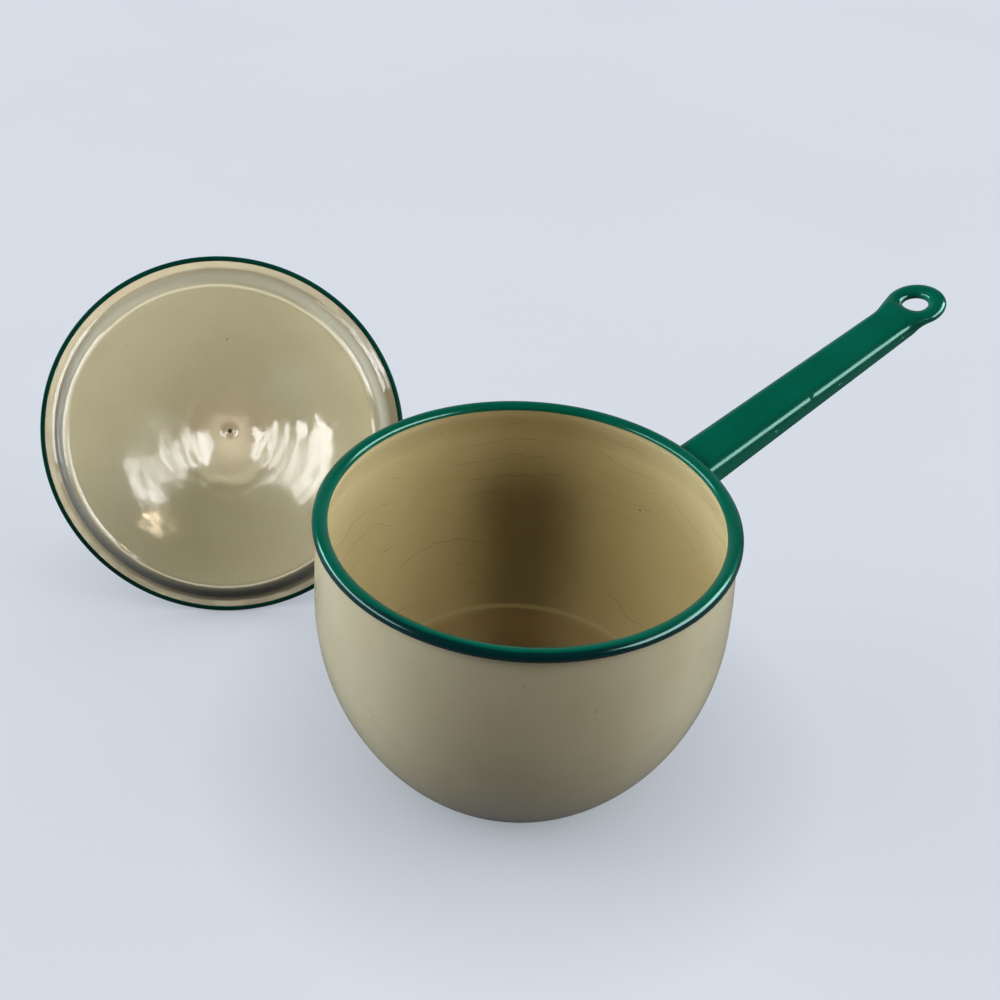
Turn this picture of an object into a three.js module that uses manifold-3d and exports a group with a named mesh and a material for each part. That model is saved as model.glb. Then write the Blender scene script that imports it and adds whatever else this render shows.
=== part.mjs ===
// An enamelled steel saucepan: a bellied bowl with a rolled rim, a hollow pressed handle
// that ends in a hanging eye, and a domed lid with a hollow knob. The lid is off the pan
// and stands on its edge beside it, leaning back, with its underside to the front.
// Millimetres, +Z up. The origin is the centre of the base, on the surface that the pan
// stands on, and +X runs out below the handle.

import * as THREE from 'three';
import { mergeVertices } from 'three/addons/utils/BufferGeometryUtils.js';
import Module from 'manifold-3d';

// Fits
const FIT_GAP = 0.3; // between two pieces that are seated on each other

// Bowl, sheet steel with a coat of enamel on both faces
const BOWL_WALL = 1.6;
const BASE_RADIUS = 54.4; // where the flank would meet the base without its round heel
const INNER_HEEL_ROUND = 3.4; // inside round between the base and the flank
const BELLY_RADIUS = 90.4; // outside, where the bowl is widest
const BELLY_HEIGHT = 85;
const RIM_HEIGHT = 128.6; // centre of the rolled rim
const LIP_ENGAGEMENT = 3.4; // how far the bowl's lip stands up into the rim roll
const LIP_STRAIGHT = 2; // plain upright stretch of lip below the rim roll

// Rim roll, the rolled edge that closes over the bowl's lip
const RIM_INSET = 0.4; // outside of the rim roll, inward from the belly
const RIM_ROLL_ROUND = 2.9; // radius of its section

// Handle, measured along its own slope from the outside of the rim
const HANDLE_SHEET = 1.6;
const HANDLE_SLOPE = THREE.MathUtils.degToRad(18.6);
const HANDLE_DROP = 1.4; // handle's top face below the rim roll's centre, at the rim
const HANDLE_INSERT = 10; // length that runs on inside the rim before it is trimmed to the bowl
const ROOT_WIDTH = 25.8;
const ROOT_DEPTH = 11.8;
const NECK_WIDTH = 22.2;
const NECK_DEPTH = 8;
const TOP_EDGE_ROUND = 4.2; // along the two upper edges
const LOWER_EDGE_ROUND = 1.8; // along the two lower edges
const EYE_DISTANCE = 141.9; // rim to the middle of the hanging eye
const EYE_RADIUS = 13.9;
const EYE_HOLE_RADIUS = 6.5;
const EYE_THICKNESS = 4.2; // the two layers of sheet pressed flat
const NECK_LENGTH = 14; // from the end of the straight edges to the middle of the eye
const NECK_BLEND = 2.4; // softness of the waist between the straight edges and the eye
const FLATTEN_LENGTH = 8; // run over which the hollow section is pressed flat
const FLAT_REACH = 4.5; // end of that run, short of the middle of the eye
const SEAM_WIDTH = 4.5; // open seam along the underside
const SEAM_STOP = 9; // seam's end, short of the hollow's end
const WELD_LEG = 1.5; // weld round the handle's root

// Lid, with its height counted up from the underside of its flange
const LID_SHEET = 1.3;
const LID_OVERHANG = 1.4; // lid's edge past the outside of the rim roll
const LID_ROLL_ROUND = 1.3; // radius of the rolled edge's section
const LID_ROLL_LIFT = 0.65; // centre of the rolled edge above the flange's underside
const SEAT_REACH = 1.1; // flange's inner edge, inward from the rim roll's top
const PLUG_GAP = 6.9; // foot of the plug, inward from the mouth
const PLUG_DEPTH = 6.5; // foot of the plug below the flange
const PLUG_ROUND = 3.4; // round at the plug's foot
const DOME_RISE = 25; // middle of the dome's underside above the flange
const VENT_RADIUS = 1.2;

// Knob, hollow, with its height counted up from the top of the dome
const KNOB_SHEET = 1.3;
const KNOB_RADIUS = 17.5;
const KNOB_HEIGHT = 31;
const KNOB_WIDEST = 21; // height of the widest ring
const KNOB_MOUTH = 15; // height of the cap's lower edge
const KNOB_FOOT_RADIUS = 12.5;
const KNOB_WAIST_RADIUS = 7.6;
const KNOB_WAIST_HEIGHT = 7.5;
const KNOB_COLLAR_RADIUS = 11.5; // ledge that carries the cap
const KNOB_SPIGOT_RADIUS = 9.6; // spigot that centres the cap
const KNOB_SPIGOT_LENGTH = 2.6;

// Where the lid stands
const LID_STANDOFF = 101.4; // from the pan's belly to the middle of the lid
const LID_BEARING = THREE.MathUtils.degToRad(107.8); // direction from the pan to the lid
const KNOB_BEARING = THREE.MathUtils.degToRad(61); // direction that the knob points to
const LID_LEAN = THREE.MathUtils.degToRad(24.3); // back from upright
const FLOOR_GAP = 0.1; // below the lid's lowest point

// Fineness of the curved surfaces
const TURN_STEPS = 48;
const KNOB_STEPS = 32;
const ROLL_STEPS = 14;
const EDGE_STEPS = 8;
const FLANK_STEPS = 8;
const CURVE_STEPS = 5;
const ROUND_STEPS = 3;
const CORNER_STEPS = 4;
const BEAM_STEPS = 5;
const EYE_STEPS = 20;
const HOLE_STEPS = 28;

// Enamel finishes
const GLOSS = 0.16;
const SATIN = 0.26;
const CREAM_OUTSIDE = 0xcbc3a6;
const CREAM_LID = 0xcfc39b;
const GREEN = 0x06553f;

const QUARTER_TURN = Math.PI / 2;
const HALF_TURN = Math.PI;
const FULL_TURN = Math.PI * 2;
const MERGE_DISTANCE = 1e-4;

const wasm = await Module();
wasm.setup();

// Sizes that follow from the ones above
const rimOutside = BELLY_RADIUS - RIM_INSET;
const rimRollCentre = rimOutside - RIM_ROLL_ROUND;
const mouthRadius = rimRollCentre - RIM_ROLL_ROUND;
const lipOutside = rimRollCentre + BOWL_WALL / 2;
const lipTop = RIM_HEIGHT - RIM_ROLL_ROUND + LIP_ENGAGEMENT;
const lipFoot = RIM_HEIGHT - RIM_ROLL_ROUND - LIP_STRAIGHT;
const hollowEnd = EYE_DISTANCE - FLAT_REACH - FLATTEN_LENGTH;
const lidRadius = rimOutside + LID_OVERHANG;
const lidRollCentre = lidRadius - LID_ROLL_ROUND;
const plugRadius = mouthRadius - PLUG_GAP;

// Points along a round stretch, from one angle to another
function arc(centreX, centreY, radius, start, end, steps) {
  const points = [];
  for (let i = 0; i <= steps; i += 1) {
    const angle = THREE.MathUtils.lerp(start, end, i / steps);
    points.push(new THREE.Vector2(
      centreX + radius * Math.cos(angle),
      centreY + radius * Math.sin(angle),
    ));
  }
  return points;
}

// The same line of points, moved sideways to its left by a distance
function shiftedLeft(points, distance) {
  return points.map((point, i) => {
    const before = points[Math.max(i - 1, 0)];
    const after = points[Math.min(i + 1, points.length - 1)];
    const along = after.clone().sub(before).normalize();
    return new THREE.Vector2(point.x - along.y * distance, point.y + along.x * distance);
  });
}

// A geometry with only its positions, shared corners joined and collapsed triangles dropped
function joined(geometry) {
  const bare = geometry.clone();
  bare.deleteAttribute('normal');
  bare.deleteAttribute('uv');
  const merged = mergeVertices(bare, MERGE_DISTANCE);
  const kept = [];
  for (let i = 0; i < merged.index.count; i += 3) {
    const a = merged.index.getX(i);
    const b = merged.index.getX(i + 1);
    const c = merged.index.getX(i + 2);
    if (a !== b && b !== c && c !== a) kept.push(a, b, c);
  }
  merged.setIndex(kept);
  return merged;
}

// A closed geometry as a solid that can be cut and joined
function solidOf(geometry) {
  const merged = joined(geometry);
  return new wasm.Manifold(new wasm.Mesh({
    numProp: 3,
    vertProperties: new Float32Array(merged.attributes.position.array),
    triVerts: new Uint32Array(merged.index.array),
  }));
}

// A cut or joined solid as a geometry again
function geometryOf(solid) {
  const mesh = solid.getMesh();
  const geometry = new THREE.BufferGeometry();
  geometry.setAttribute('position', new THREE.BufferAttribute(Float32Array.from(mesh.vertProperties), 3));
  geometry.setIndex(new THREE.BufferAttribute(Uint32Array.from(mesh.triVerts), 1));
  geometry.computeVertexNormals();
  return geometry;
}

// A profile of (radius, height) points turned about +Z, with its faces outward. The profile
// starts and ends on the axis, or is closed on itself here.
function turned(profile, steps) {
  const points = [...profile];
  if (points[0].x > 0) points.push(points[0].clone());
  if (THREE.ShapeUtils.area(points) < 0) points.reverse();
  const geometry = new THREE.LatheGeometry(points, steps);
  geometry.rotateX(QUARTER_TURN);
  return joined(geometry);
}

// A skin through matching rings of points, with a flat cap over each end
function lofted(rings) {
  const count = rings[0].length;
  const last = (rings.length - 1) * count;
  const corners = [];
  for (let ring = 0; ring < rings.length - 1; ring += 1) {
    for (let i = 0; i < count; i += 1) {
      const a = ring * count + i;
      const b = ring * count + (i + 1) % count;
      corners.push(a, b, b + count, a, b + count, a + count);
    }
  }
  for (let i = 1; i < count - 1; i += 1) {
    corners.push(0, i + 1, i);
    corners.push(last, last + i, last + i + 1);
  }
  const geometry = new THREE.BufferGeometry().setFromPoints(rings.flat());
  geometry.setIndex(corners);
  return geometry;
}

// Bowl: the outside line of its wall, from the middle of the base up to the lip, moved
// inward by a depth. The flank is one round from the upright belly down to the base, and
// the shoulder bends in from the belly to the lip.
function bowlLine(depth) {
  const fall = BELLY_RADIUS - BASE_RADIUS;
  const flankRound = (fall ** 2 + BELLY_HEIGHT ** 2) / (2 * fall);
  const flankCentre = BELLY_RADIUS - flankRound;
  const heelRound = INNER_HEEL_ROUND + BOWL_WALL;
  const heelHeight = BELLY_HEIGHT - heelRound;
  const heelCentre = flankCentre + Math.sqrt((flankRound - heelRound) ** 2 - heelHeight ** 2);
  const heelAngle = Math.atan2(-heelHeight, heelCentre - flankCentre);
  const shoulder = new THREE.QuadraticBezierCurve(
    new THREE.Vector2(BELLY_RADIUS - depth, BELLY_HEIGHT),
    new THREE.Vector2(BELLY_RADIUS - depth, (BELLY_HEIGHT + lipFoot) / 2),
    new THREE.Vector2(lipOutside - depth, lipFoot),
  );
  return [
    new THREE.Vector2(0, depth),
    ...arc(heelCentre, heelRound, heelRound - depth, -QUARTER_TURN, heelAngle, ROUND_STEPS),
    ...arc(flankCentre, BELLY_HEIGHT, flankRound - depth, heelAngle, 0, FLANK_STEPS).slice(1),
    ...shoulder.getPoints(CURVE_STEPS).slice(1),
  ];
}

function bowlGeometry() {
  const lip = [
    new THREE.Vector2(lipOutside, lipTop),
    new THREE.Vector2(lipOutside - BOWL_WALL, lipTop),
  ];
  return turned([...bowlLine(0), ...lip, ...bowlLine(BOWL_WALL).reverse()], TURN_STEPS);
}

// Rim roll: a round section with a slot in its underside that takes the bowl's lip
function rimRollGeometry() {
  const halfSlot = BOWL_WALL / 2 + FIT_GAP;
  const slotTop = lipTop + FIT_GAP;
  const slotAngle = Math.asin(halfSlot / RIM_ROLL_ROUND);
  const start = slotAngle - QUARTER_TURN;
  const end = FULL_TURN - QUARTER_TURN - slotAngle;
  return turned([
    new THREE.Vector2(rimRollCentre - halfSlot, slotTop),
    new THREE.Vector2(rimRollCentre + halfSlot, slotTop),
    ...arc(rimRollCentre, RIM_HEIGHT, RIM_ROLL_ROUND, start, end, ROLL_STEPS),
  ], TURN_STEPS);
}

// The space that the bowl and its rim roll fill, grown by a margin, to trim the handle's root
function panEnvelope(margin) {
  const bowl = solidOf(turned([
    ...bowlLine(-margin),
    new THREE.Vector2(lipOutside + margin, RIM_HEIGHT),
    new THREE.Vector2(0, RIM_HEIGHT),
  ], TURN_STEPS));
  const roll = solidOf(turned(
    arc(rimRollCentre, RIM_HEIGHT, RIM_ROLL_ROUND + margin, 0, FULL_TURN, ROLL_STEPS).slice(1),
    TURN_STEPS,
  ));
  return bowl.add(roll);
}

// Handle: half its width at a distance from the rim, straight edges running into a round eye
function handleHalfWidth(x) {
  const along = x / (EYE_DISTANCE - NECK_LENGTH);
  const straight = THREE.MathUtils.lerp(ROOT_WIDTH, NECK_WIDTH, along) / 2;
  const fading = straight * (1 - THREE.MathUtils.smoothstep(x, EYE_DISTANCE - NECK_LENGTH, EYE_DISTANCE));
  const eye = Math.sqrt(Math.max(EYE_RADIUS ** 2 - (x - EYE_DISTANCE) ** 2, 0));
  if (x >= EYE_DISTANCE) return eye;
  return (fading + eye + Math.hypot(fading - eye, NECK_BLEND)) / 2;
}

// Depth of the handle's section, which is pressed flat towards the eye
function handleDepth(x) {
  const along = x / hollowEnd;
  const hollow = THREE.MathUtils.lerp(ROOT_DEPTH, NECK_DEPTH, Math.min(along, 1));
  const flat = THREE.MathUtils.smoothstep(x, hollowEnd, hollowEnd + FLATTEN_LENGTH);
  return THREE.MathUtils.lerp(hollow, EYE_THICKNESS, flat);
}

// A ring of points round the handle's section at a distance from the rim, moved inward by
// an inset, or outward where the inset is negative
function handleRing(x, inset) {
  const halfWidth = handleHalfWidth(x);
  const depth = handleDepth(x);
  const side = halfWidth - inset;
  const top = -inset;
  const bottom = inset - depth;
  const limit = Math.min(depth / 2, halfWidth) - inset;
  const upper = Math.min(TOP_EDGE_ROUND - inset, limit);
  const lower = Math.min(LOWER_EDGE_ROUND - inset, limit);
  const outline = [
    ...arc(side - upper, top - upper, upper, 0, QUARTER_TURN, CORNER_STEPS),
    ...arc(upper - side, top - upper, upper, QUARTER_TURN, HALF_TURN, CORNER_STEPS),
    ...arc(lower - side, bottom + lower, lower, HALF_TURN, HALF_TURN + QUARTER_TURN, CORNER_STEPS),
    ...arc(side - lower, bottom + lower, lower, HALF_TURN + QUARTER_TURN, FULL_TURN, CORNER_STEPS),
  ];
  return outline.map((point) => new THREE.Vector3(x, point.x, point.y));
}

// Distances at which the handle's section is drawn, finer where it changes
function handleStations() {
  const neckStart = Math.min(hollowEnd, EYE_DISTANCE - NECK_LENGTH);
  const stations = [-HANDLE_INSERT];
  for (let i = 0; i < BEAM_STEPS; i += 1) {
    stations.push((neckStart * i) / BEAM_STEPS);
  }
  const tip = EYE_DISTANCE + EYE_RADIUS;
  const run = tip - neckStart;
  for (let i = 0; i < EYE_STEPS; i += 1) {
    stations.push(neckStart + run * Math.sin((QUARTER_TURN * i) / EYE_STEPS));
  }
  return stations;
}

// Turns the handle's own slope and place into the pan's frame
const handlePlace = new THREE.Matrix4()
  .makeRotationY(-HANDLE_SLOPE)
  .setPosition(rimOutside, 0, RIM_HEIGHT - HANDLE_DROP);

function placedOnHandle(geometry) {
  return solidOf(geometry.applyMatrix4(handlePlace));
}

function handleBlank(inset) {
  return placedOnHandle(lofted(handleStations().map((x) => handleRing(x, inset))));
}

// The hollow inside the handle, from its root to where the section is pressed flat
function handleHollow() {
  const rings = [-HANDLE_INSERT, hollowEnd].map((x) => handleRing(x, HANDLE_SHEET));
  return placedOnHandle(lofted(rings));
}

// The open seam along the underside, cut up into the hollow
function handleSeam() {
  const length = hollowEnd - SEAM_STOP + HANDLE_INSERT;
  const slot = new THREE.BoxGeometry(length, SEAM_WIDTH, ROOT_DEPTH);
  slot.translate(length / 2 - HANDLE_INSERT, 0, -ROOT_DEPTH / 2 - NECK_DEPTH / 2);
  return placedOnHandle(slot);
}

function eyeHole() {
  const drill = new THREE.CylinderGeometry(EYE_HOLE_RADIUS, EYE_HOLE_RADIUS, ROOT_DEPTH * 2, HOLE_STEPS);
  drill.rotateX(QUARTER_TURN);
  drill.translate(EYE_DISTANCE, 0, 0);
  return placedOnHandle(drill);
}

function handleGeometry() {
  const shell = handleBlank(0).subtract(handleHollow()).subtract(handleSeam());
  return geometryOf(shell.subtract(eyeHole()).subtract(panEnvelope(FIT_GAP)));
}

// Weld: a collar round the handle's root, lying on the bowl and the rim roll
function weldGeometry() {
  const reach = handleBlank(-WELD_LEG).intersect(panEnvelope(WELD_LEG));
  return geometryOf(reach.subtract(handleBlank(-FIT_GAP)).subtract(panEnvelope(FIT_GAP)));
}

// Lid: the round of the dome's underside, worked out from its rise above the plug's foot
const domeAngle = 2 * Math.atan((DOME_RISE + PLUG_DEPTH) / plugRadius);
const domeRound = plugRadius / Math.sin(domeAngle) - PLUG_ROUND;
const domeCentre = DOME_RISE - domeRound;

// Height of the dome's top face at a radius
function domeTop(radius) {
  return domeCentre + Math.sqrt((domeRound + LID_SHEET) ** 2 - radius ** 2);
}

// The line of the lid's underside from the vent out to the edge: the dome, the round foot
// of the plug, the plug's wall and the flange that rests on the rim
function lidUnderside() {
  const ventAngle = QUARTER_TURN - Math.asin(VENT_RADIUS / domeRound);
  const flangeInside = rimRollCentre - SEAT_REACH;
  const bend = (flangeInside - plugRadius) / 2;
  const wall = new THREE.CubicBezierCurve(
    new THREE.Vector2(plugRadius, -PLUG_DEPTH),
    new THREE.Vector2(plugRadius + bend, -PLUG_DEPTH),
    new THREE.Vector2(flangeInside - bend, 0),
    new THREE.Vector2(flangeInside, 0),
  );
  const footStart = -QUARTER_TURN - domeAngle;
  const footHeight = PLUG_ROUND - PLUG_DEPTH;
  return [
    ...arc(0, domeCentre, domeRound, ventAngle, QUARTER_TURN - domeAngle, FLANK_STEPS),
    ...arc(plugRadius, footHeight, PLUG_ROUND, footStart, -QUARTER_TURN, ROUND_STEPS).slice(1),
    ...wall.getPoints(CURVE_STEPS).slice(1),
    new THREE.Vector2(lidRollCentre - LID_ROLL_ROUND - FIT_GAP, 0),
  ];
}

function lidGeometry() {
  const underside = lidUnderside();
  const top = shiftedLeft(underside, LID_SHEET).reverse();
  return turned([...underside, ...top], TURN_STEPS);
}

function lidRollGeometry() {
  return turned(
    arc(lidRollCentre, LID_ROLL_LIFT, LID_ROLL_ROUND, 0, FULL_TURN, EDGE_STEPS).slice(1),
    TURN_STEPS,
  );
}

// Knob stem: a flared foot on the dome, a waist, a collar and a spigot, open down its middle
function knobStemGeometry() {
  const crown = domeTop(0);
  const footOuter = domeTop(KNOB_FOOT_RADIUS) + FIT_GAP;
  const boreRadius = KNOB_WAIST_RADIUS - KNOB_SHEET;
  const footInner = domeTop(boreRadius) + FIT_GAP;
  const collarHeight = crown + KNOB_MOUTH - FIT_GAP;
  const foot = new THREE.QuadraticBezierCurve(
    new THREE.Vector2(KNOB_FOOT_RADIUS, footOuter + KNOB_SHEET),
    new THREE.Vector2(KNOB_WAIST_RADIUS, footOuter + KNOB_SHEET),
    new THREE.Vector2(KNOB_WAIST_RADIUS, crown + KNOB_WAIST_HEIGHT),
  );
  const flare = new THREE.QuadraticBezierCurve(
    new THREE.Vector2(KNOB_WAIST_RADIUS, crown + KNOB_WAIST_HEIGHT),
    new THREE.Vector2(KNOB_WAIST_RADIUS, collarHeight - KNOB_SHEET),
    new THREE.Vector2(KNOB_COLLAR_RADIUS, collarHeight - KNOB_SHEET),
  );
  const spigotTop = collarHeight + KNOB_SPIGOT_LENGTH;
  return turned([
    new THREE.Vector2(boreRadius, footInner),
    new THREE.Vector2(KNOB_FOOT_RADIUS, footOuter),
    ...foot.getPoints(CURVE_STEPS),
    ...flare.getPoints(CURVE_STEPS).slice(1),
    new THREE.Vector2(KNOB_COLLAR_RADIUS, collarHeight),
    new THREE.Vector2(KNOB_SPIGOT_RADIUS, collarHeight),
    new THREE.Vector2(KNOB_SPIGOT_RADIUS, spigotTop),
    new THREE.Vector2(boreRadius, spigotTop),
  ], KNOB_STEPS);
}

// The line of the knob cap's outside, from its mouth round the widest ring to its top,
// moved inward by a depth
function capLine(depth) {
  const crown = domeTop(0);
  const mouth = KNOB_SPIGOT_RADIUS + FIT_GAP;
  const widest = new THREE.Vector2(KNOB_RADIUS - depth, crown + KNOB_WIDEST);
  const top = crown + KNOB_HEIGHT - depth;
  const under = new THREE.QuadraticBezierCurve(
    new THREE.Vector2(mouth, crown + KNOB_MOUTH + depth),
    new THREE.Vector2(KNOB_RADIUS - depth, crown + KNOB_MOUTH + depth),
    widest,
  );
  const over = new THREE.EllipseCurve(0, widest.y, widest.x, top - widest.y, 0, QUARTER_TURN);
  return [
    ...under.getPoints(CURVE_STEPS),
    ...over.getPoints(CURVE_STEPS).slice(1, -1),
    new THREE.Vector2(0, top),
  ];
}

function knobCapGeometry() {
  const outside = capLine(0).reverse();
  return turned([...outside, ...capLine(KNOB_SHEET)], KNOB_STEPS);
}

// A named piece with an enamel finish
function piece(name, geometry, colour, roughness) {
  const material = new THREE.MeshStandardMaterial({ color: colour, roughness, metalness: 0 });
  const mesh = new THREE.Mesh(geometry, material);
  mesh.name = name;
  return mesh;
}

const pan = new THREE.Group();
pan.add(piece('pan_bowl', bowlGeometry(), CREAM_OUTSIDE, GLOSS));
pan.add(piece('rim_roll', rimRollGeometry(), GREEN, GLOSS));
pan.add(piece('handle', handleGeometry(), GREEN, GLOSS));
pan.add(piece('handle_weld', weldGeometry(), GREEN, SATIN));

// The lid stands on the lowest point of its rolled edge
const lidHeight = lidRollCentre * Math.cos(LID_LEAN)
  + LID_ROLL_LIFT * Math.sin(LID_LEAN) + LID_ROLL_ROUND + FLOOR_GAP;
const lidDistance = BELLY_RADIUS + LID_STANDOFF;

const lid = new THREE.Group();
lid.rotation.y = QUARTER_TURN + LID_LEAN;
lid.add(piece('lid_shell', lidGeometry(), CREAM_LID, SATIN));
lid.add(piece('lid_edge_roll', lidRollGeometry(), GREEN, GLOSS));
lid.add(piece('knob_stem', knobStemGeometry(), GREEN, GLOSS));
lid.add(piece('knob_cap', knobCapGeometry(), GREEN, GLOSS));

const lidStand = new THREE.Group();
lidStand.position.set(
  lidDistance * Math.cos(LID_BEARING),
  lidDistance * Math.sin(LID_BEARING),
  lidHeight,
);
lidStand.rotation.z = KNOB_BEARING;
lidStand.add(lid);

const saucepan = new THREE.Group();
saucepan.add(pan);
saucepan.add(lidStand);

export default saucepan;
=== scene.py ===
# %% [markdown]
# # An enamel saucepan with its lid
# A bellied cream pan stands on a pale table, with a green rolled rim and a long
# green handle. Its lid stands beside it on its edge and shows its underside.
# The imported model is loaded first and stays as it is: it says where each piece
# sits, in metres. The pieces made here are smoother copies with their finish.

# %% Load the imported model
import math

import bpy
import numpy as np
from mathutils import Matrix, Quaternion, Vector


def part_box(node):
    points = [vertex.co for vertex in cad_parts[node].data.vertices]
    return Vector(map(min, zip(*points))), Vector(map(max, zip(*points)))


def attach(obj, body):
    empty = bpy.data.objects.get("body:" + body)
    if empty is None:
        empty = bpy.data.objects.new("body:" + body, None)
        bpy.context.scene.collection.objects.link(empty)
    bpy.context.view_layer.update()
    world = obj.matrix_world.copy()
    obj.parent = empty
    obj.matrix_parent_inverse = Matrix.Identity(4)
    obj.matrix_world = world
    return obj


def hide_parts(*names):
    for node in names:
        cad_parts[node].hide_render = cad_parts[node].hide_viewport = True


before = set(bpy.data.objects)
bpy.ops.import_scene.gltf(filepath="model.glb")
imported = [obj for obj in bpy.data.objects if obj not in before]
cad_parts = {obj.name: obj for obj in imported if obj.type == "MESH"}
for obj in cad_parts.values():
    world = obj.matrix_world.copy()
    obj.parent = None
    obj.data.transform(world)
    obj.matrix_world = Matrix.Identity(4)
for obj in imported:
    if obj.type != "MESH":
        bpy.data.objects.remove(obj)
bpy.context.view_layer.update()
MM = 0.001
print("packed pieces:", sorted(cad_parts))

# %% [markdown]
# ## Camera
# The camera was worked out from the ellipses of the rim, the base and the lid.
# A camera looks along its own -Z axis, so a track rotation turns that axis to
# the aim point, and a small turn about the same axis gives the slight tilt.

# %% Camera
CAMERA_PLACE = Vector((-267.47, -350.54, 449.76)) * MM
CAMERA_AIM = Vector((52.05, 92.95, 60.0)) * MM
CAMERA_TILT = math.radians(3.05)

camera_data = bpy.data.cameras.new("camera")
camera_data.lens = 46.8
camera_data.sensor_width = 36.0
camera_data.clip_end = 60.0
camera = bpy.data.objects.new("camera", camera_data)
bpy.context.scene.collection.objects.link(camera)
looking = (CAMERA_AIM - CAMERA_PLACE).normalized()
camera.rotation_mode = "QUATERNION"
camera.rotation_quaternion = looking.to_track_quat("-Z", "Y") @ Quaternion((0, 0, 1), CAMERA_TILT)
camera.location = CAMERA_PLACE
bpy.context.scene.camera = camera
bpy.context.scene.view_settings.view_transform = "Standard"
print("camera to aim point: %.0f mm" % ((CAMERA_AIM - CAMERA_PLACE).length / MM))

# %% [markdown]
# ## Small helpers for node trees
# Materials are built from nodes. A few short helpers keep the later cells easy to
# read: they add a node and set its values, join two sockets, do a sum, add up
# weighted values, fade a mask in or out and lay one colour over another.

# %% Helpers for nodes
def add_node(tree, kind, settings=None, **inputs):
    node = tree.nodes.new(kind)
    for key, value in (settings or {}).items():
        setattr(node, key, value)
    for key, value in inputs.items():
        node.inputs[key.replace("_", " ")].default_value = value
    return node


def join(tree, source, target):
    tree.links.new(source, target)


def maths(tree, operation, first, second=None, clamp=False):
    node = add_node(tree, "ShaderNodeMath", {"operation": operation, "use_clamp": clamp})
    for slot, value in zip(node.inputs, (first, second)):
        if isinstance(value, (int, float)):
            slot.default_value = value
        elif value is not None:
            join(tree, value, slot)
    return node.outputs[0]


def weighted(tree, *pairs):
    total = None
    for value, weight in pairs:
        part = maths(tree, "MULTIPLY", value, weight)
        total = part if total is None else maths(tree, "ADD", total, part)
    return total


def along_bearing(tree, across, bearing):
    return weighted(tree, (across["X"], math.cos(bearing)), (across["Y"], math.sin(bearing)))


def fade(tree, value, start, end, low=0.0, high=1.0):
    node = add_node(tree, "ShaderNodeMapRange", {"interpolation_type": "SMOOTHSTEP"})
    join(tree, value, node.inputs["Value"])
    for name, number in (("From Min", start), ("From Max", end), ("To Min", low), ("To Max", high)):
        node.inputs[name].default_value = number
    return node.outputs["Result"]


def strip(tree, value, rise, fall):
    return maths(tree, "MULTIPLY", fade(tree, value, *rise), fade(tree, value, *fall, 1.0, 0.0))


def tint(tree, mask, under, over):
    node = add_node(tree, "ShaderNodeMix", {"data_type": "RGBA"})
    for slot, value in ((node.inputs[0], mask), (node.inputs[6], under), (node.inputs[7], over)):
        if isinstance(value, (tuple, float)):
            slot.default_value = value
        else:
            join(tree, value, slot)
    return node.outputs[2]


# %% [markdown]
# ## Light
# The pan stands in soft light that comes mostly from both sides, as in a light
# tent that is open at the front. A world shader gives such light without lamps
# that leave hot spots on the table: each soft lobe is a smooth patch of sky
# round one direction, cool near the table and warmer above. Directions are
# counted from the camera's own heading.
# Reflections see only a faint pale backdrop behind the pan, so that the green
# stays deep. Its gloss comes from the panels of the next cell.

# %% World light
heading = Vector((looking.x, looking.y, 0.0)).normalized()
rightward = Vector((heading.y, -heading.x, 0.0))


def sky_direction(azimuth, elevation):
    a, e = math.radians(azimuth), math.radians(elevation)
    flat = heading * math.cos(a) + rightward * math.sin(a)
    return flat * math.cos(e) + Vector((0, 0, 1)) * math.sin(e)


# name: azimuth from straight ahead (right is positive), elevation, half angle, strength
COOL_LOBES = {
    "left low": (-75, 6, 24, 13.8),
    "right low": (68, 6, 27, 8.8),
}
WARM_LOBES = {
    "left side": (-105, 24, 24, 4.1),
    "left high": (-90, 44, 24, 2.7),
    "right side": (105, 24, 24, 4.8),
    "right high": (90, 44, 24, 2.6),
}
MIRRORED_LOBES = {"backdrop": (0, 4, 42, 0.3)}
COOL, WARM = (0.88, 1.0, 1.18, 1.0), (1.0, 0.96, 0.89, 1.0)
SKY_BASE = (0.010, 0.0105, 0.011, 1.0)
TABLE_SHOWN = (0.62, 0.69, 0.76, 1.0)

world = bpy.data.worlds.new("soft tent")
bpy.context.scene.world = world
world.use_nodes = True
sky = world.node_tree
sky.nodes.clear()
sky_coordinates = add_node(sky, "ShaderNodeTexCoord")


def soft_sky(lobes, colour, under):
    total = None
    for name, (azimuth, elevation, spread, strength) in lobes.items():
        towards = add_node(sky, "ShaderNodeVectorMath", {"operation": "DOT_PRODUCT", "label": name})
        join(sky, sky_coordinates.outputs["Generated"], towards.inputs[0])
        towards.inputs[1].default_value = sky_direction(azimuth, elevation)
        outer, inner = math.cos(math.radians(spread)), math.cos(math.radians(spread * 0.45))
        patch = fade(sky, towards.outputs["Value"], outer, inner, 0.0, strength)
        total = patch if total is None else maths(sky, "ADD", total, patch)
    lit = add_node(sky, "ShaderNodeBackground", Color=colour)
    join(sky, total, lit.inputs["Strength"])
    both = add_node(sky, "ShaderNodeAddShader")
    join(sky, lit.outputs[0], both.inputs[0])
    join(sky, under, both.inputs[1])
    return both.outputs[0]


def choose(mask, without, within):
    node = add_node(sky, "ShaderNodeMixShader")
    for slot, source in zip(node.inputs, (mask, without, within)):
        join(sky, source, slot)
    return node.outputs[0]


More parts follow.
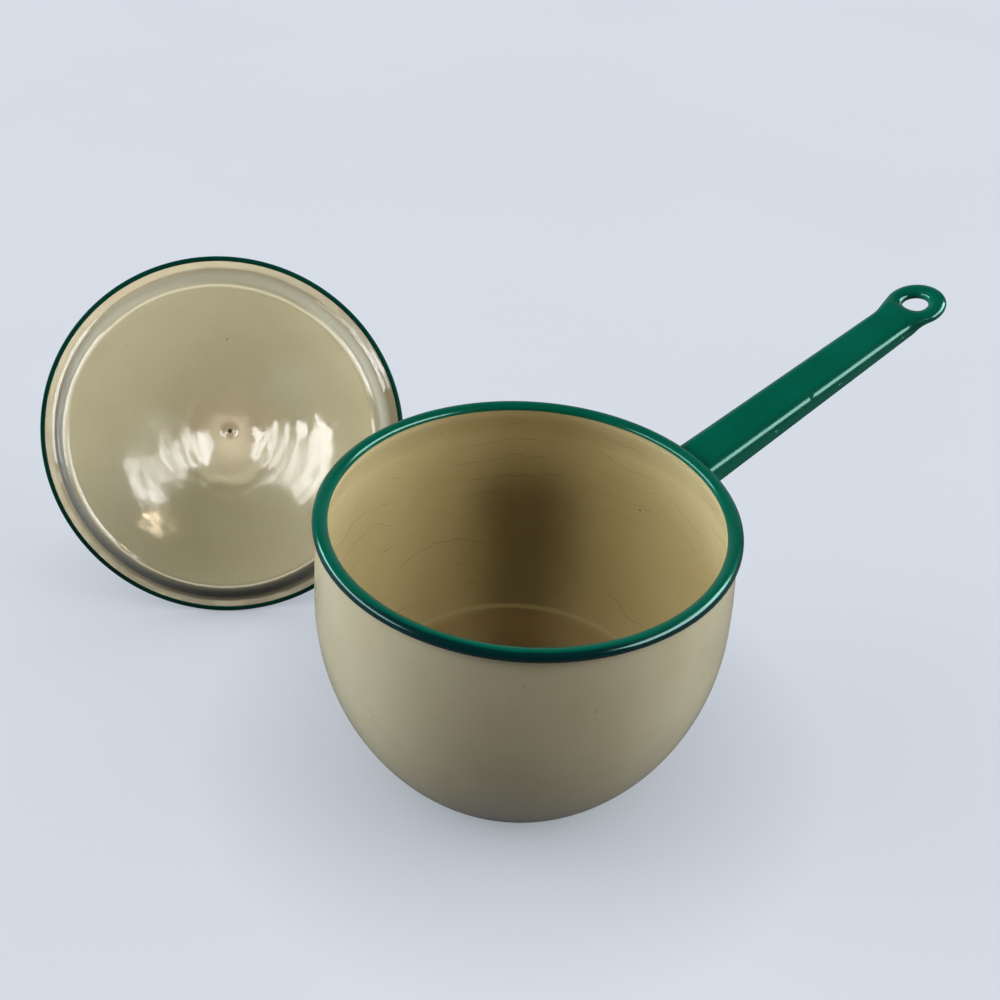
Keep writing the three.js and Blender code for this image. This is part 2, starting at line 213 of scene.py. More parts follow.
ray = add_node(sky, "ShaderNodeLightPath")
shown = add_node(sky, "ShaderNodeBackground", Color=TABLE_SHOWN, Strength=1.0)
base_light = add_node(sky, "ShaderNodeBackground", Color=SKY_BASE, Strength=1.0).outputs[0]
from_sides = soft_sky(COOL_LOBES, COOL, soft_sky(WARM_LOBES, WARM, base_light))
lighting = choose(ray.outputs["Is Glossy Ray"], from_sides, soft_sky(MIRRORED_LOBES, COOL, base_light))
seen = choose(ray.outputs["Is Camera Ray"], lighting, shown.outputs[0])
join(sky, seen, add_node(sky, "ShaderNodeOutputWorld").inputs["Surface"])
print("sky lobes:", ", ".join([*COOL_LOBES, *WARM_LOBES]))

# %% [markdown]
# Bright panels give the gloss. Three narrow ones stand in front on each side of
# the viewer, like the panes of a window, and show as the two groups of flames in
# the lid's hollow, with a dim pale wall between them. Two long ones at the sides
# show as the thin lines along the rim and the handle. Their green tinge stands for
# the light that this deep glaze gives back from within. An area lamp can be hidden
# from diffuse rays, so that it adds a reflection and no more light.

# %% Panels that show as reflections
LID_HEART = Vector((-0.0586, 0.1826, 0.0838))


def bright_panel(name, azimuth, elevation, distance, width, height, watts, colour=(1, 1, 1)):
    data = bpy.data.lights.new(name, "AREA")
    data.shape, data.size, data.size_y, data.energy = "RECTANGLE", width, height, watts
    data.color = colour
    lamp = bpy.data.objects.new(name, data)
    bpy.context.scene.collection.objects.link(lamp)
    lamp.location = LID_HEART + sky_direction(azimuth, elevation) * distance
    lamp.rotation_mode = "QUATERNION"
    lamp.rotation_quaternion = (LID_HEART - lamp.location).to_track_quat("-Z", "Y")
    lamp.visible_diffuse = False
    return lamp


PANEL_DISTANCE = 1.7
# azimuth, elevation, width, height, brightness in watts per square metre
WINDOW_PANES = (
    (129, 24, 0.26, 1.25, 56), (145, 22, 0.22, 0.90, 60), (160, 25, 0.24, 0.60, 50),
    (-158, 22, 0.22, 0.66, 48), (-144, 20, 0.20, 0.96, 48), (-130, 17, 0.30, 1.15, 48),
)
lid_panels = [
    bright_panel("pane %d" % i, az, el, PANEL_DISTANCE, width, height, watts * width * height)
    for i, (az, el, width, height, watts) in enumerate(WINDOW_PANES)
]
LAMPLIGHT, WALL_CREAM, GLAZE_TINGE = (1.0, 0.80, 0.55), (1.0, 0.94, 0.72), (0.55, 1.0, 0.92)
lid_panels += [
    bright_panel("warm lamp", 117, 53, PANEL_DISTANCE, 0.10, 0.30, 4.5, LAMPLIGHT),
    bright_panel("pale wall", -179, 24, 1.9, 0.95, 1.40, 12.0, WALL_CREAM),
    bright_panel("pale wall middle", -179, 21, 1.8, 0.55, 0.70, 3.6, WALL_CREAM),
]
side_panels = [
    bright_panel("side panel right", 94, 36, PANEL_DISTANCE, 1.80, 0.62, 72.0, GLAZE_TINGE),
    bright_panel("side panel left", -88, 34, PANEL_DISTANCE, 2.10, 0.42, 48.0, GLAZE_TINGE),
]
for panel in lid_panels + side_panels:
    print(panel.name, "at", [round(v, 2) for v in panel.location])

# %% [markdown]
# ## Table
# The pan stands on a smooth pale sheet with a blue cast that runs out of sight.
# A wide grid is enough for it. Its paint has a faint cloudiness and a few specks
# of dust, so that it doesn't look like an empty page. Part of its brightness is
# a glow that only the camera and reflections see, which keeps it pale without
# throwing more light up at the pan. The glow dims where the pan stands close to
# the table, so that the contact shadow stays.

# %% Table
TABLE_REACH = 14.0
TABLE_TONES = (0.118, 0.124, 0.134, 1.0), (0.130, 0.136, 0.146, 1.0)
TABLE_DUST, TABLE_GLOW = (0.07, 0.07, 0.075, 1.0), (0.540, 0.578, 0.640, 1.0)

table_data = bpy.data.meshes.new("table")
r = TABLE_REACH
table_data.from_pydata([(-r, -r, 0), (r, -r, 0), (r, r, 0), (-r, r, 0)], [], [(0, 1, 2, 3)])
table = bpy.data.objects.new("table", table_data)
bpy.context.scene.collection.objects.link(table)

table_paint = bpy.data.materials.new("pale table sheet")
table_paint.use_nodes = True
tree = table_paint.node_tree
surface = tree.nodes["Principled BSDF"]
surface.inputs["Roughness"].default_value = 0.75
surface.inputs["Specular IOR Level"].default_value = 0.12
place = add_node(tree, "ShaderNodeTexCoord")
clouds = add_node(tree, "ShaderNodeTexNoise", Scale=2.3, Detail=3.0)
join(tree, place.outputs["Object"], clouds.inputs["Vector"])
dust = add_node(tree, "ShaderNodeTexVoronoi", Scale=34.0)
join(tree, place.outputs["Object"], dust.inputs["Vector"])
grain = fade(tree, dust.outputs["Distance"], 0.014, 0.030, 0.55, 0.0)
cloudy = tint(tree, fade(tree, clouds.outputs["Fac"], 0.3, 0.7), *TABLE_TONES)
join(tree, tint(tree, grain, cloudy, TABLE_DUST), surface.inputs["Base Color"])
ray = add_node(tree, "ShaderNodeLightPath")
in_reflections = maths(tree, "MULTIPLY", ray.outputs["Is Glossy Ray"], 0.08)
looked_at = maths(tree, "MAXIMUM", ray.outputs["Is Camera Ray"], in_reflections)
openness = add_node(tree, "ShaderNodeAmbientOcclusion", Distance=0.08)
dimmed = maths(tree, "ADD", maths(tree, "MULTIPLY", openness.outputs["AO"], 0.6), 0.4)
glow = add_node(tree, "ShaderNodeEmission", Color=TABLE_GLOW)
join(tree, maths(tree, "MULTIPLY", looked_at, dimmed), glow.inputs["Strength"])
with_glow = add_node(tree, "ShaderNodeAddShader")
join(tree, surface.outputs[0], with_glow.inputs[0])
join(tree, glow.outputs[0], with_glow.inputs[1])
join(tree, with_glow.outputs[0], tree.nodes["Material Output"].inputs["Surface"])
table_data.materials.append(table_paint)
print("table: %.0f m wide" % (2 * TABLE_REACH))

# %% [markdown]
# ## Turned outlines
# Bowl, rim, lid and knob are round, so each is an outline turned about an axis.
# Blender's Screw modifier or bmesh's spin can do that. Here the rings are laid
# out with numpy, because the outline's points then stay exactly where they are
# worked out and the faces are even quads. Outlines are in millimetres, as pairs
# of radius and height.

# %% Helpers for turned pieces
def arc(centre, radii, start, end, count):
    turn = np.radians(np.linspace(start, end, count))
    return np.c_[centre[0] + radii[0] * np.cos(turn), centre[1] + radii[1] * np.sin(turn)]


def bend(points, count):
    t = np.linspace(0.0, 1.0, count)[:, None]
    rows = [np.array(p, float)[None, :] + 0 * t for p in points]
    while len(rows) > 1:
        rows = [a * (1 - t) + b * t for a, b in zip(rows, rows[1:])]
    return rows[0]


def line(start, end, count):
    return bend([start, end], count)


def outline(*runs):
    points = np.vstack(runs)
    keep = np.r_[True, np.linalg.norm(np.diff(points, axis=0), axis=1) > 1e-4]
    return points[keep]


def turned(name, points, steps, closed=True, place=None, sharp=38.0):
    angles = np.linspace(0, 2 * np.pi, steps, endpoint=False)
    rings, verts, faces = [], [], []
    for radius, height in points * MM:
        if radius < 1e-7:
            rings.append([len(verts)] * steps)
            verts.append((0.0, 0.0, height))
        else:
            rings.append(list(range(len(verts), len(verts) + steps)))
            verts += [(radius * math.cos(a), radius * math.sin(a), height) for a in angles]
    pairs = list(zip(rings, rings[1:])) + ([(rings[-1], rings[0])] if closed else [])
    for low, high in pairs:
        for i in range(steps):
            j = (i + 1) % steps
            corners = list(dict.fromkeys((low[i], low[j], high[j], high[i])))
            if len(corners) > 2:
                faces.append(corners)
    mesh = bpy.data.meshes.new(name)
    mesh.from_pydata(verts, [], faces)
    if place is not None:
        mesh.transform(place)
    mesh.shade_smooth()
    mesh.set_sharp_from_angle(angle=math.radians(sharp))
    mesh.update()
    piece = bpy.data.objects.new(name, mesh)
    bpy.context.scene.collection.objects.link(piece)
    print("%s: %d faces" % (name, len(faces)))
    return piece


def settle(piece, body, slot, paint, *nodes):
    piece.data.materials.append(paint)
    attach(piece, body)
    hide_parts(*nodes)


# %% [markdown]
# ## Enamel effects shared by several finishes
# Enamel is coloured glass melted onto steel. Close up it shows fine dark specks
# where gas or grit broke the glaze, a slow drift of tone where it lies thicker,
# a soft waviness like orange peel, and hairline scratches from use. Each of these
# is a node group, so that the cream and the green finishes share it with their
# own sizes and amounts.

# %% Start a node group
def new_group(name, inputs, outputs):
    group = bpy.data.node_groups.new(name, "ShaderNodeTree")
    group.interface.new_socket("Place", in_out="INPUT", socket_type="NodeSocketVector")
    for label, value in inputs.items():
        socket = group.interface.new_socket(label, in_out="INPUT", socket_type="NodeSocketFloat")
        socket.default_value = value
    for label in outputs:
        group.interface.new_socket(label, in_out="OUTPUT", socket_type="NodeSocketFloat")
    return group, group.nodes.new("NodeGroupInput"), group.nodes.new("NodeGroupOutput")


# %% Specks in the glaze
specks, into, out = new_group("enamel specks", {"Cells": 150.0, "Size": 0.1, "Share": 0.3}, ["Mask"])
cells = add_node(specks, "ShaderNodeTexVoronoi")
join(specks, into.outputs["Place"], cells.inputs["Vector"])
join(specks, into.outputs["Cells"], cells.inputs["Scale"])
chance = add_node(specks, "ShaderNodeSeparateColor")
join(specks, cells.outputs["Color"], chance.inputs["Color"])
present = maths(specks, "LESS_THAN", chance.outputs[0], into.outputs["Share"])
reach = maths(specks, "MULTIPLY", into.outputs["Size"], maths(specks, "ADD", chance.outputs[1], 0.35))
nearness = maths(specks, "SUBTRACT", reach, cells.outputs["Distance"])
core = maths(specks, "DIVIDE", nearness, maths(specks, "MULTIPLY", reach, 0.5), clamp=True)
join(specks, maths(specks, "MULTIPLY", core, present), out.inputs["Mask"])
print("group:", specks.name)

# %% Drift of tone
drift, into, out = new_group("enamel drift", {"Scale": 14.0, "Fine": 60.0}, ["Tone"])
broad = add_node(drift, "ShaderNodeTexNoise", Detail=2.0, Roughness=0.5)
fine = add_node(drift, "ShaderNodeTexNoise", Detail=3.0, Roughness=0.6)
for noise, label in ((broad, "Scale"), (fine, "Fine")):
    join(drift, into.outputs["Place"], noise.inputs["Vector"])
    join(drift, into.outputs[label], noise.inputs["Scale"])
mixed = weighted(drift, (broad.outputs["Fac"], 0.72), (fine.outputs["Fac"], 0.28))
join(drift, fade(drift, mixed, 0.34, 0.66), out.inputs["Tone"])
print("group:", drift.name)

# %% Waviness of the melted glaze
peel, into, out = new_group("enamel waviness", {"Wave": 55.0, "Peel": 420.0}, ["Height"])
wave = add_node(peel, "ShaderNodeTexNoise", Detail=1.0)
skin = add_node(peel, "ShaderNodeTexNoise", Detail=1.0)
for noise, label in ((wave, "Wave"), (skin, "Peel")):
    join(peel, into.outputs["Place"], noise.inputs["Vector"])
    join(peel, into.outputs[label], noise.inputs["Scale"])
height = weighted(peel, (wave.outputs["Fac"], 0.86), (skin.outputs["Fac"], 0.14))
join(peel, height, out.inputs["Height"])
print("group:", peel.name)

# %% Hairline scratches
amounts = {"Lines": 520.0, "Patches": 34.0, "Share": 0.45}
hairlines, into, out = new_group("hairline scratches", amounts, ["Mask"])
lines_found = None
for turn in ((0.5, 0.9, 0.3), (2.1, -0.6, 1.2)):
    turned_place = add_node(hairlines, "ShaderNodeVectorRotate", {"rotation_type": "EULER_XYZ"})
    turned_place.inputs["Rotation"].default_value = turn
    stretched = add_node(hairlines, "ShaderNodeVectorMath", {"operation": "MULTIPLY"})
    stretched.inputs[1].default_value = (0.012, 1.0, 0.012)
    streaks = add_node(hairlines, "ShaderNodeTexNoise", Detail=0.0)
    join(hairlines, into.outputs["Place"], turned_place.inputs["Vector"])
    join(hairlines, turned_place.outputs[0], stretched.inputs[0])
    join(hairlines, stretched.outputs[0], streaks.inputs["Vector"])
    join(hairlines, into.outputs["Lines"], streaks.inputs["Scale"])
    found = fade(hairlines, streaks.outputs["Fac"], 0.72, 0.80)
    lines_found = found if lines_found is None else maths(hairlines, "MAXIMUM", lines_found, found)
where = add_node(hairlines, "ShaderNodeTexNoise", Detail=1.0)
join(hairlines, into.outputs["Place"], where.inputs["Vector"])
join(hairlines, into.outputs["Patches"], where.inputs["Scale"])
limit = maths(hairlines, "SUBTRACT", 1.0, into.outputs["Share"])
over_limit = maths(hairlines, "SUBTRACT", where.outputs["Fac"], limit)
some = maths(hairlines, "MULTIPLY", over_limit, 9.0, clamp=True)
join(hairlines, maths(hairlines, "MULTIPLY", lines_found, some), out.inputs["Mask"])
print("group:", hairlines.name)


# %% Place a group in a material
def effect(tree, group, place, **values):
    node = tree.nodes.new("ShaderNodeGroup")
    node.node_tree = group
    join(tree, place, node.inputs["Place"])
    for label, value in values.items():
        node.inputs[label].default_value = value
    return node.outputs[0]


def speckle(tree, place, *sizes):
    masks = []
    for cells_per_metre, size, share, strength in sizes:
        found = effect(tree, specks, place, Cells=cells_per_metre, Size=size, Share=share)
        masks.append(maths(tree, "MULTIPLY", found, strength))
    return maths(tree, "MAXIMUM", *masks)


def new_enamel(name, roughness_low, roughness_high, depth, wave=55.0, axes=None):
    paint = bpy.data.materials.new(name)
    paint.use_nodes = True
    tree = paint.node_tree
    surface = tree.nodes["Principled BSDF"]
    surface.inputs["IOR"].default_value = 1.54
    place = add_node(tree, "ShaderNodeTexCoord").outputs["Object"]
    if axes is not None:
        own_axes = add_node(tree, "ShaderNodeMapping", {"vector_type": "TEXTURE"})
        own_axes.inputs["Location"].default_value = axes.to_translation()
        own_axes.inputs["Rotation"].default_value = axes.to_euler()
        join(tree, place, own_axes.inputs["Vector"])
        place = own_axes.outputs["Vector"]
    relief = add_node(tree, "ShaderNodeBump", Strength=1.0, Distance=depth * MM)
    join(tree, effect(tree, peel, place, Wave=wave), relief.inputs["Height"])
    join(tree, relief.outputs["Normal"], surface.inputs["Normal"])
    scratch = effect(tree, hairlines, place, Lines=520.0, Patches=46.0, Share=0.40)
    cloudy = effect(tree, drift, place, Scale=24.0, Fine=130.0)
    rough = fade(tree, cloudy, 0.0, 1.0, roughness_low, roughness_high)
    scuffed = weighted(tree, (rough, 1.0), (scratch, 0.16))
    join(tree, scuffed, surface.inputs["Roughness"])
    return paint, tree, surface, place, relief, scratch


# %% [markdown]
# ## Cream enamel of the bowl
# The cream is a warm ivory, greyer outside and tan inside, where years of cooking
# have stained it. One function makes both finishes, because specks, scratches and
# drift of tone are the same on both faces. The foot that rubs on the hob is a
# little darker.

# %% Cream enamel of the bowl
OUTSIDE_CREAM = (0.440, 0.392, 0.252, 1.0), (0.480, 0.434, 0.290, 1.0)
SPECK_BROWN, SCRATCH_TAN = (0.10, 0.075, 0.045, 1.0), (0.30, 0.25, 0.17, 1.0)
FOOT_BROWN = (0.20, 0.17, 0.12, 1.0)
# cells per metre, size in cells, share of cells that have a speck, strength
BOWL_SPECKS = (210.0, 0.085, 0.26, 0.5), (70.0, 0.055, 0.16, 0.8)


def cream_enamel(name, thin, thick):
    paint, tree, surface, place, relief, scratch = new_enamel(name, 0.11, 0.19, 0.10)
    tone = effect(tree, drift, place, Scale=16.0, Fine=70.0)
    ivory = tint(tree, tone, thin, thick)
    speckled = tint(tree, speckle(tree, place, *BOWL_SPECKS), ivory, SPECK_BROWN)
    scratched = tint(tree, maths(tree, "MULTIPLY", scratch, 0.16), speckled, SCRATCH_TAN)
    spot = add_node(tree, "ShaderNodeSeparateXYZ")
    join(tree, place, spot.inputs[0])
    return paint, tree, surface, place, scratched, spot.outputs


outer_cream, tree, surface, place, scratched, across = cream_enamel("cream enamel outside", *OUTSIDE_CREAM)
foot_wear = fade(tree, across["Z"], 0.0002, 0.0030, 0.7, 0.0)
join(tree, tint(tree, foot_wear, scratched, FOOT_BROWN), surface.inputs["Base Color"])
print("finish:", outer_cream.name)

# %% [markdown]
# Stirring leaves fine dark lines that run round the inside, one above the other
# and never quite level. The height is counted in steps of about a centimetre, a
# slow noise shifts the count, and a thin line is drawn where a step begins. A
# second noise keeps only stretches of each line. The floor and the foot of the
# wall are stained brown, with a paler line round the wall at the stain's top edge.
# A grey-brown column of painted shade runs up the far wall, the wall that faces
# the camera. Noise frays its border.

# %% Cream enamel inside
INSIDE_CREAM = (0.545, 0.462, 0.245, 1.0), (0.590, 0.506, 0.284, 1.0)
STIRRED_BROWN, SHADE_PAINT_BROWN = (0.20, 0.15, 0.085, 1.0), (0.130, 0.110, 0.085, 1.0)
STAIN_BROWN, PALE_RING_CREAM = (0.36, 0.22, 0.10, 1.0), (0.66, 0.58, 0.36, 1.0)
SHADE_PAINT_BEARING = math.radians(54.2)

inner_cream, tree, surface, place, scratched, across = cream_enamel("cream enamel inside", *INSIDE_CREAM)
wander = add_node(tree, "ShaderNodeTexNoise", Scale=21.0, Detail=3.0, Roughness=0.5)
join(tree, place, wander.inputs["Vector"])
steps = weighted(tree, (across["Z"], 95.0), (wander.outputs["Fac"], 2.6))
from_step = maths(tree, "ABSOLUTE", maths(tree, "SUBTRACT", maths(tree, "FRACT", steps), 0.5))
stretches = add_node(tree, "ShaderNodeTexNoise", Scale=30.0, Detail=2.0)
join(tree, place, stretches.inputs["Vector"])
thin_line = fade(tree, from_step, 0.008, 0.030, 1.0, 0.0)
lines_there = maths(tree, "MULTIPLY", thin_line, fade(tree, stretches.outputs["Fac"], 0.42, 0.60))
on_wall = fade(tree, across["Z"], 0.012, 0.030, 0.0, 0.42)
stirred = tint(tree, maths(tree, "MULTIPLY", lines_there, on_wall), scratched, STIRRED_BROWN)

# Painted shade: a grey-brown column up the far wall, centred on the camera's heading.
sideways = maths(tree, "ABSOLUTE", along_bearing(tree, across, SHADE_PAINT_BEARING - math.pi / 2))
frayed = weighted(tree, (sideways, 1.0), (wander.outputs["Fac"], 0.016))
in_height = fade(tree, across["Z"], 0.070, 0.108, 1.0, 0.0)
on_far_wall = fade(tree, along_bearing(tree, across, SHADE_PAINT_BEARING), 0.020, 0.050)
shade_paint = maths(tree, "MULTIPLY", fade(tree, frayed, 0.014, 0.046, 0.66, 0.0), in_height)
shade_painted = tint(tree, maths(tree, "MULTIPLY", shade_paint, on_far_wall), stirred, SHADE_PAINT_BROWN)

stained = tint(tree, fade(tree, across["Z"], 0.016, 0.021, 0.45, 0.0), shade_painted, STAIN_BROWN)
# A paler line rings the wall at the top of the brown stain.
pale_ring = strip(tree, across["Z"], (0.0190, 0.0200), (0.0206, 0.0220))
pale_ringed = tint(tree, maths(tree, "MULTIPLY", pale_ring, 0.6), stained, PALE_RING_CREAM)
join(tree, pale_ringed, surface.inputs["Base Color"])
print("finish:", inner_cream.name)

# %% [markdown]
# ## Green enamel
# Rim, handle and knob carry a deep bottle green. It is almost black where it
# turns away from the light, so most of its look comes from its gloss. The tone
# drifts slightly where the glaze pooled, with a few pin specks.

# %% Green enamel
BOTTLE_GREEN = (0.0006, 0.084, 0.049, 1.0), (0.0010, 0.098, 0.059, 1.0)
PIN_DARK, SCRATCH_GREEN = (0.0004, 0.020, 0.014, 1.0), (0.03, 0.16, 0.12, 1.0)


def green_enamel(name, thin, thick):
    paint, tree, surface, place, relief, scratch = new_enamel(name, 0.12, 0.19, 0.03, wave=80.0)
    surface.inputs["Specular IOR Level"].default_value = 0.24
    tone = effect(tree, drift, place, Scale=30.0, Fine=160.0)
    bottle = tint(tree, tone, thin, thick)
    pins = effect(tree, specks, place, Cells=260.0, Size=0.10, Share=0.14)
    pinned = tint(tree, maths(tree, "MULTIPLY", pins, 0.6), bottle, PIN_DARK)
    scratched = tint(tree, maths(tree, "MULTIPLY", scratch, 0.07), pinned, SCRATCH_GREEN)
    join(tree, scratched, surface.inputs["Base Color"])
    return paint, tree, surface, place, tone, scratched


green = green_enamel("green enamel", *BOTTLE_GREEN)[0]
print("finish:", green.name)

# %% [markdown]
# ## Bowl
# The bowl is pressed from one sheet 1.6 mm thick. Its flank is a large arc that
# swells from a small flat base to the belly, then it draws in a little to the
# rim. Inside, the wall runs up to the green edge in one smooth curve.

# %% Bowl
SHEET = 1.6
BELLY = (90.4, 85.0)
BASE_RADIUS = 54.4
FLANK_ROUND = ((BELLY[0] - BASE_RADIUS) ** 2 + BELLY[1] ** 2) / (2 * (BELLY[0] - BASE_RADIUS))
FLANK_CENTRE = (BELLY[0] - FLANK_ROUND, BELLY[1])
HEEL_ROUND = 5.0
HEEL_REACH = math.sqrt((FLANK_ROUND - HEEL_ROUND) ** 2 - (BELLY[1] - HEEL_ROUND) ** 2)
HEEL_CENTRE = (FLANK_CENTRE[0] + HEEL_REACH, HEEL_ROUND)
HEEL_TURN = math.degrees(math.atan2(HEEL_ROUND - BELLY[1], HEEL_REACH))
LIP = (87.9, 123.7)
RIM_CENTRE = (86.75, 128.5)
RIM_HALF = (3.3, 2.5)


def bowl_face(inset):
    heel = (HEEL_ROUND - inset,) * 2
    flank = (FLANK_ROUND - inset,) * 2
    wide, mouth = BELLY[0] - inset, LIP[0] - inset
    shoulder = [(wide, BELLY[1]), (wide, (BELLY[1] + LIP[1]) / 2), (mouth, LIP[1])]
    return outline(
        line((0, inset), (HEEL_CENTRE[0], inset), 14),
        arc(HEEL_CENTRE, heel, -90, HEEL_TURN, 12),
        arc(FLANK_CENTRE, flank, HEEL_TURN, 0, 60),
        bend(shoulder, 26),
    )


BOWL_STEPS = 224
TURNOVER_LIFT = 0.07
turnover = arc(RIM_CENTRE, [half + TURNOVER_LIFT for half in RIM_HALF], 182, 202, 10)
wall_inside = LIP[0] - SHEET
below_bead = (turnover[-1][0] + 0.3, 123.5)
under_turnover = bend([turnover[-1], below_bead, (wall_inside, 119.5), (wall_inside, 112.0)], 26)
inside = bowl_face(SHEET)[::-1]
inside = inside[inside[:, 1] < under_turnover[-1][1] - 0.5]
under_turnover[:, 0] += (inside[0, 0] - wall_inside) * np.linspace(0, 1, len(under_turnover)) ** 2
bowl_outline = outline(
    bowl_face(0.0),
    line(LIP, (LIP[0], 127.8), 4),
    line((LIP[0], 127.8), (85.6, 129.0), 3),
    turnover,
    under_turnover,
    inside,
)
bowl = turned("bowl", bowl_outline, BOWL_STEPS, closed=False)
settle(bowl, "pan", "cream_enamel", outer_cream, "pan_bowl")
bowl.data.materials.append(inner_cream)
first_inside = int(np.argmin(np.linalg.norm(bowl_outline - turnover[0], axis=1)))
on_inside = np.arange(len(bowl.data.polygons)) >= first_inside * BOWL_STEPS
bowl.data.polygons.foreach_set("material_index", on_inside.astype(np.int32))
print("faces inside: %d" % on_inside.sum())

# %% [markdown]
# ## Rolled rim
# The sheet's edge is rolled outward into a bead, which stiffens the mouth and
# leaves no sharp edge. From above it is slightly wider than it is tall. Down its
# outside the green is darkened to blue-black as painted shade, where the bead
# turns down and away from the light, most of all at the front. The angle round the
# bead says where, with the drift of tone to make the border uneven.

# %% Rolled rim
PAINTED_SHADE_NAVY = (0.0008, 0.008, 0.017, 1.0)
RIM_FRONT = math.radians(234.2)

rim_green, tree, surface, place, tone, scratched = green_enamel("green enamel of the rim", *BOTTLE_GREEN)
spot = add_node(tree, "ShaderNodeSeparateXYZ")
join(tree, place, spot.inputs[0])
squares = [maths(tree, "POWER", spot.outputs[axis], 2.0) for axis in ("X", "Y")]
from_middle = maths(tree, "SQRT", maths(tree, "ADD", *squares))
outward = maths(tree, "SUBTRACT", from_middle, RIM_CENTRE[0] * MM)
upward = maths(tree, "SUBTRACT", spot.outputs["Z"], RIM_CENTRE[1] * MM)
bead_angle = maths(tree, "ARCTAN2", upward, outward)
# Painted shade: the bead's outside darkens to blue-black, most of all at the front.
at_front = fade(tree, along_bearing(tree, spot.outputs, RIM_FRONT), 0.0392, 0.0870)
uneven = weighted(tree, (bead_angle, 1.0), (at_front, math.radians(-34)), (tone, 0.25))
glaze_and_painted_shade = fade(tree, uneven, math.radians(28), math.radians(60), 0.85, 0.0)
join(tree, tint(tree, glaze_and_painted_shade, scratched, PAINTED_SHADE_NAVY), surface.inputs["Base Color"])
rim = turned("rim_bead", arc(RIM_CENTRE, RIM_HALF, 0, 360, 49)[:-1], 256)
settle(rim, "pan", "green_enamel", rim_green, "rim_roll")

# %% [markdown]
# ## Handle
# The handle is folded from sheet into a flat-topped hollow beam, and its end is
# pressed into an eye to hang it by. Beam, eye and hole flow into each other with
# no hard edge, which is hard to get from a box with bevels. A distance field
# gives it: each form is a formula for the distance to its skin, and a smooth
# minimum melts two forms together, down to a small drip of glaze on one edge. The
# skin is then wrapped over a fine grid.

# %% Fields that make up the handle
SLOPE = math.radians(18.6)
HANDLE_START = (90.0, 0.0, 127.2)
EYE_AT, EYE_RING, EYE_HOLE = 142.6, (10.2, 4.15, 2.7), 5.5
BEAM_END, PRESS_START, PRESS_RUN = 135.5, 128.0, 10.0
ROOT_HALF, ROOT_DEPTH = 12.9, 11.8
NARROWING, FLATTENING, PRESSED_DEPTH = 1.8, 3.8, 5.0
TOP_ROUND, LOW_ROUND, TOP_CROWN = 5.6, 2.2, 0.9
HANDLE_SHEET, HOLLOW_END = 1.6, 124.0
SEAM_HALF, SEAM_TOP, SEAM_END = 2.25, -3.2, 118.0
# how deep the fillet's foot and the root lie in the wall, then the fillet's width
# and how far it may leave the beam
SEAT, ROOT_REACH, FILLET, FILLET_SPREAD = 0.12, 1.1, 2.6, 2.2
DRIP, DRIP_ROUND, DRIP_STRETCH = (65.0, -10.25, -2.55), 0.8, 1.5


def melt(a, b, k):
    share = np.clip(0.5 + 0.5 * (b - a) / k, 0, 1)
    return b + (a - b) * share - k * share * (1 - share)


def carve(a, b, k):
    return -melt(-a, b, k)


def beam_section(x, y, z, inset=0.0):
    along = np.clip(x / PRESS_START, 0, 1)
    half = ROOT_HALF - NARROWING * along - inset
    pressed = np.clip((x - PRESS_START) / PRESS_RUN, 0, 1)
    pressed = pressed ** 2 * (3 - 2 * pressed)
    depth = (ROOT_DEPTH - FLATTENING * along) * (1 - pressed) + PRESSED_DEPTH * pressed
    middle = -depth / 2
    corner = np.minimum(np.where(z > middle, TOP_ROUND, LOW_ROUND), depth / 2) - min(inset, 1.2)
    z = z + np.where(z > middle, TOP_CROWN, 0.0) * (y / ROOT_HALF) ** 2
    across = np.abs(y) - half + corner
    down = np.abs(z - middle) - (depth / 2 - inset) + corner
    within = np.minimum(np.maximum(across, down), 0)
    return within + np.hypot(np.maximum(across, 0), np.maximum(down, 0)) - corner


def pan_field(x, y, z):
    px = HANDLE_START[0] + x * math.cos(SLOPE) - z * math.sin(SLOPE)
    pz = HANDLE_START[2] + x * math.sin(SLOPE) + z * math.cos(SLOPE)
    radius = np.hypot(px, y)
    bead_out = (radius - RIM_CENTRE[0]) / RIM_HALF[0]
    bead_up = (pz - RIM_CENTRE[1]) / RIM_HALF[1]
    bead = (np.hypot(bead_out, bead_up) - 1) * RIM_HALF[1]
    flank = np.hypot(radius - FLANK_CENTRE[0], np.minimum(pz - FLANK_CENTRE[1], 0)) - FLANK_ROUND
    draw_in = np.clip((pz - BELLY[1]) / (LIP[1] - BELLY[1]), 0, 1) ** 2 * (BELLY[0] - LIP[0])
    wall = np.where(pz > RIM_CENTRE[1], 9.0, flank + draw_in)
    return np.minimum(bead, wall)


def handle_field(x, y, z):
    drip_along = (x - DRIP[0]) / DRIP_STRETCH
    drip = np.sqrt(drip_along ** 2 + (y - DRIP[1]) ** 2 + (z - DRIP[2]) ** 2) - DRIP_ROUND
    beam = melt(carve(beam_section(x, y, z), BEAM_END - x, 6.0), drip, 0.7)
    rho = np.hypot(x - EYE_AT, y)
    ring_out = (rho - EYE_RING[0]) / EYE_RING[1]
    ring_up = (z + EYE_RING[2]) / EYE_RING[2]
    ring = (np.hypot(ring_out, ring_up) - 1) * EYE_RING[2]
    body = carve(melt(beam, ring, 4.4), rho - EYE_HOLE, 0.6)
    hollow = np.maximum(beam_section(x, y, z, HANDLE_SHEET), x - HOLLOW_END)
    seam = np.maximum(np.maximum(np.abs(y) - SEAM_HALF, z - SEAM_TOP), x - SEAM_END)
    body = np.maximum(body, -np.minimum(hollow, seam))
    pan = pan_field(x, y, z)
    rooted = np.maximum(melt(body, pan + SEAT, FILLET), -(pan + ROOT_REACH))
    return np.maximum(rooted, body - FILLET_SPREAD)


print("field at the beam's middle: %.1f mm" % handle_field(60.0, 12.0, -5.0))

# %% [markdown]
# The grid's cells that the skin passes through get one point each, and four
# neighbouring points make a face: a surface net. Each point is then moved along
# the field's slope until it lies on the skin, and that slope also gives smooth
# shading normals.

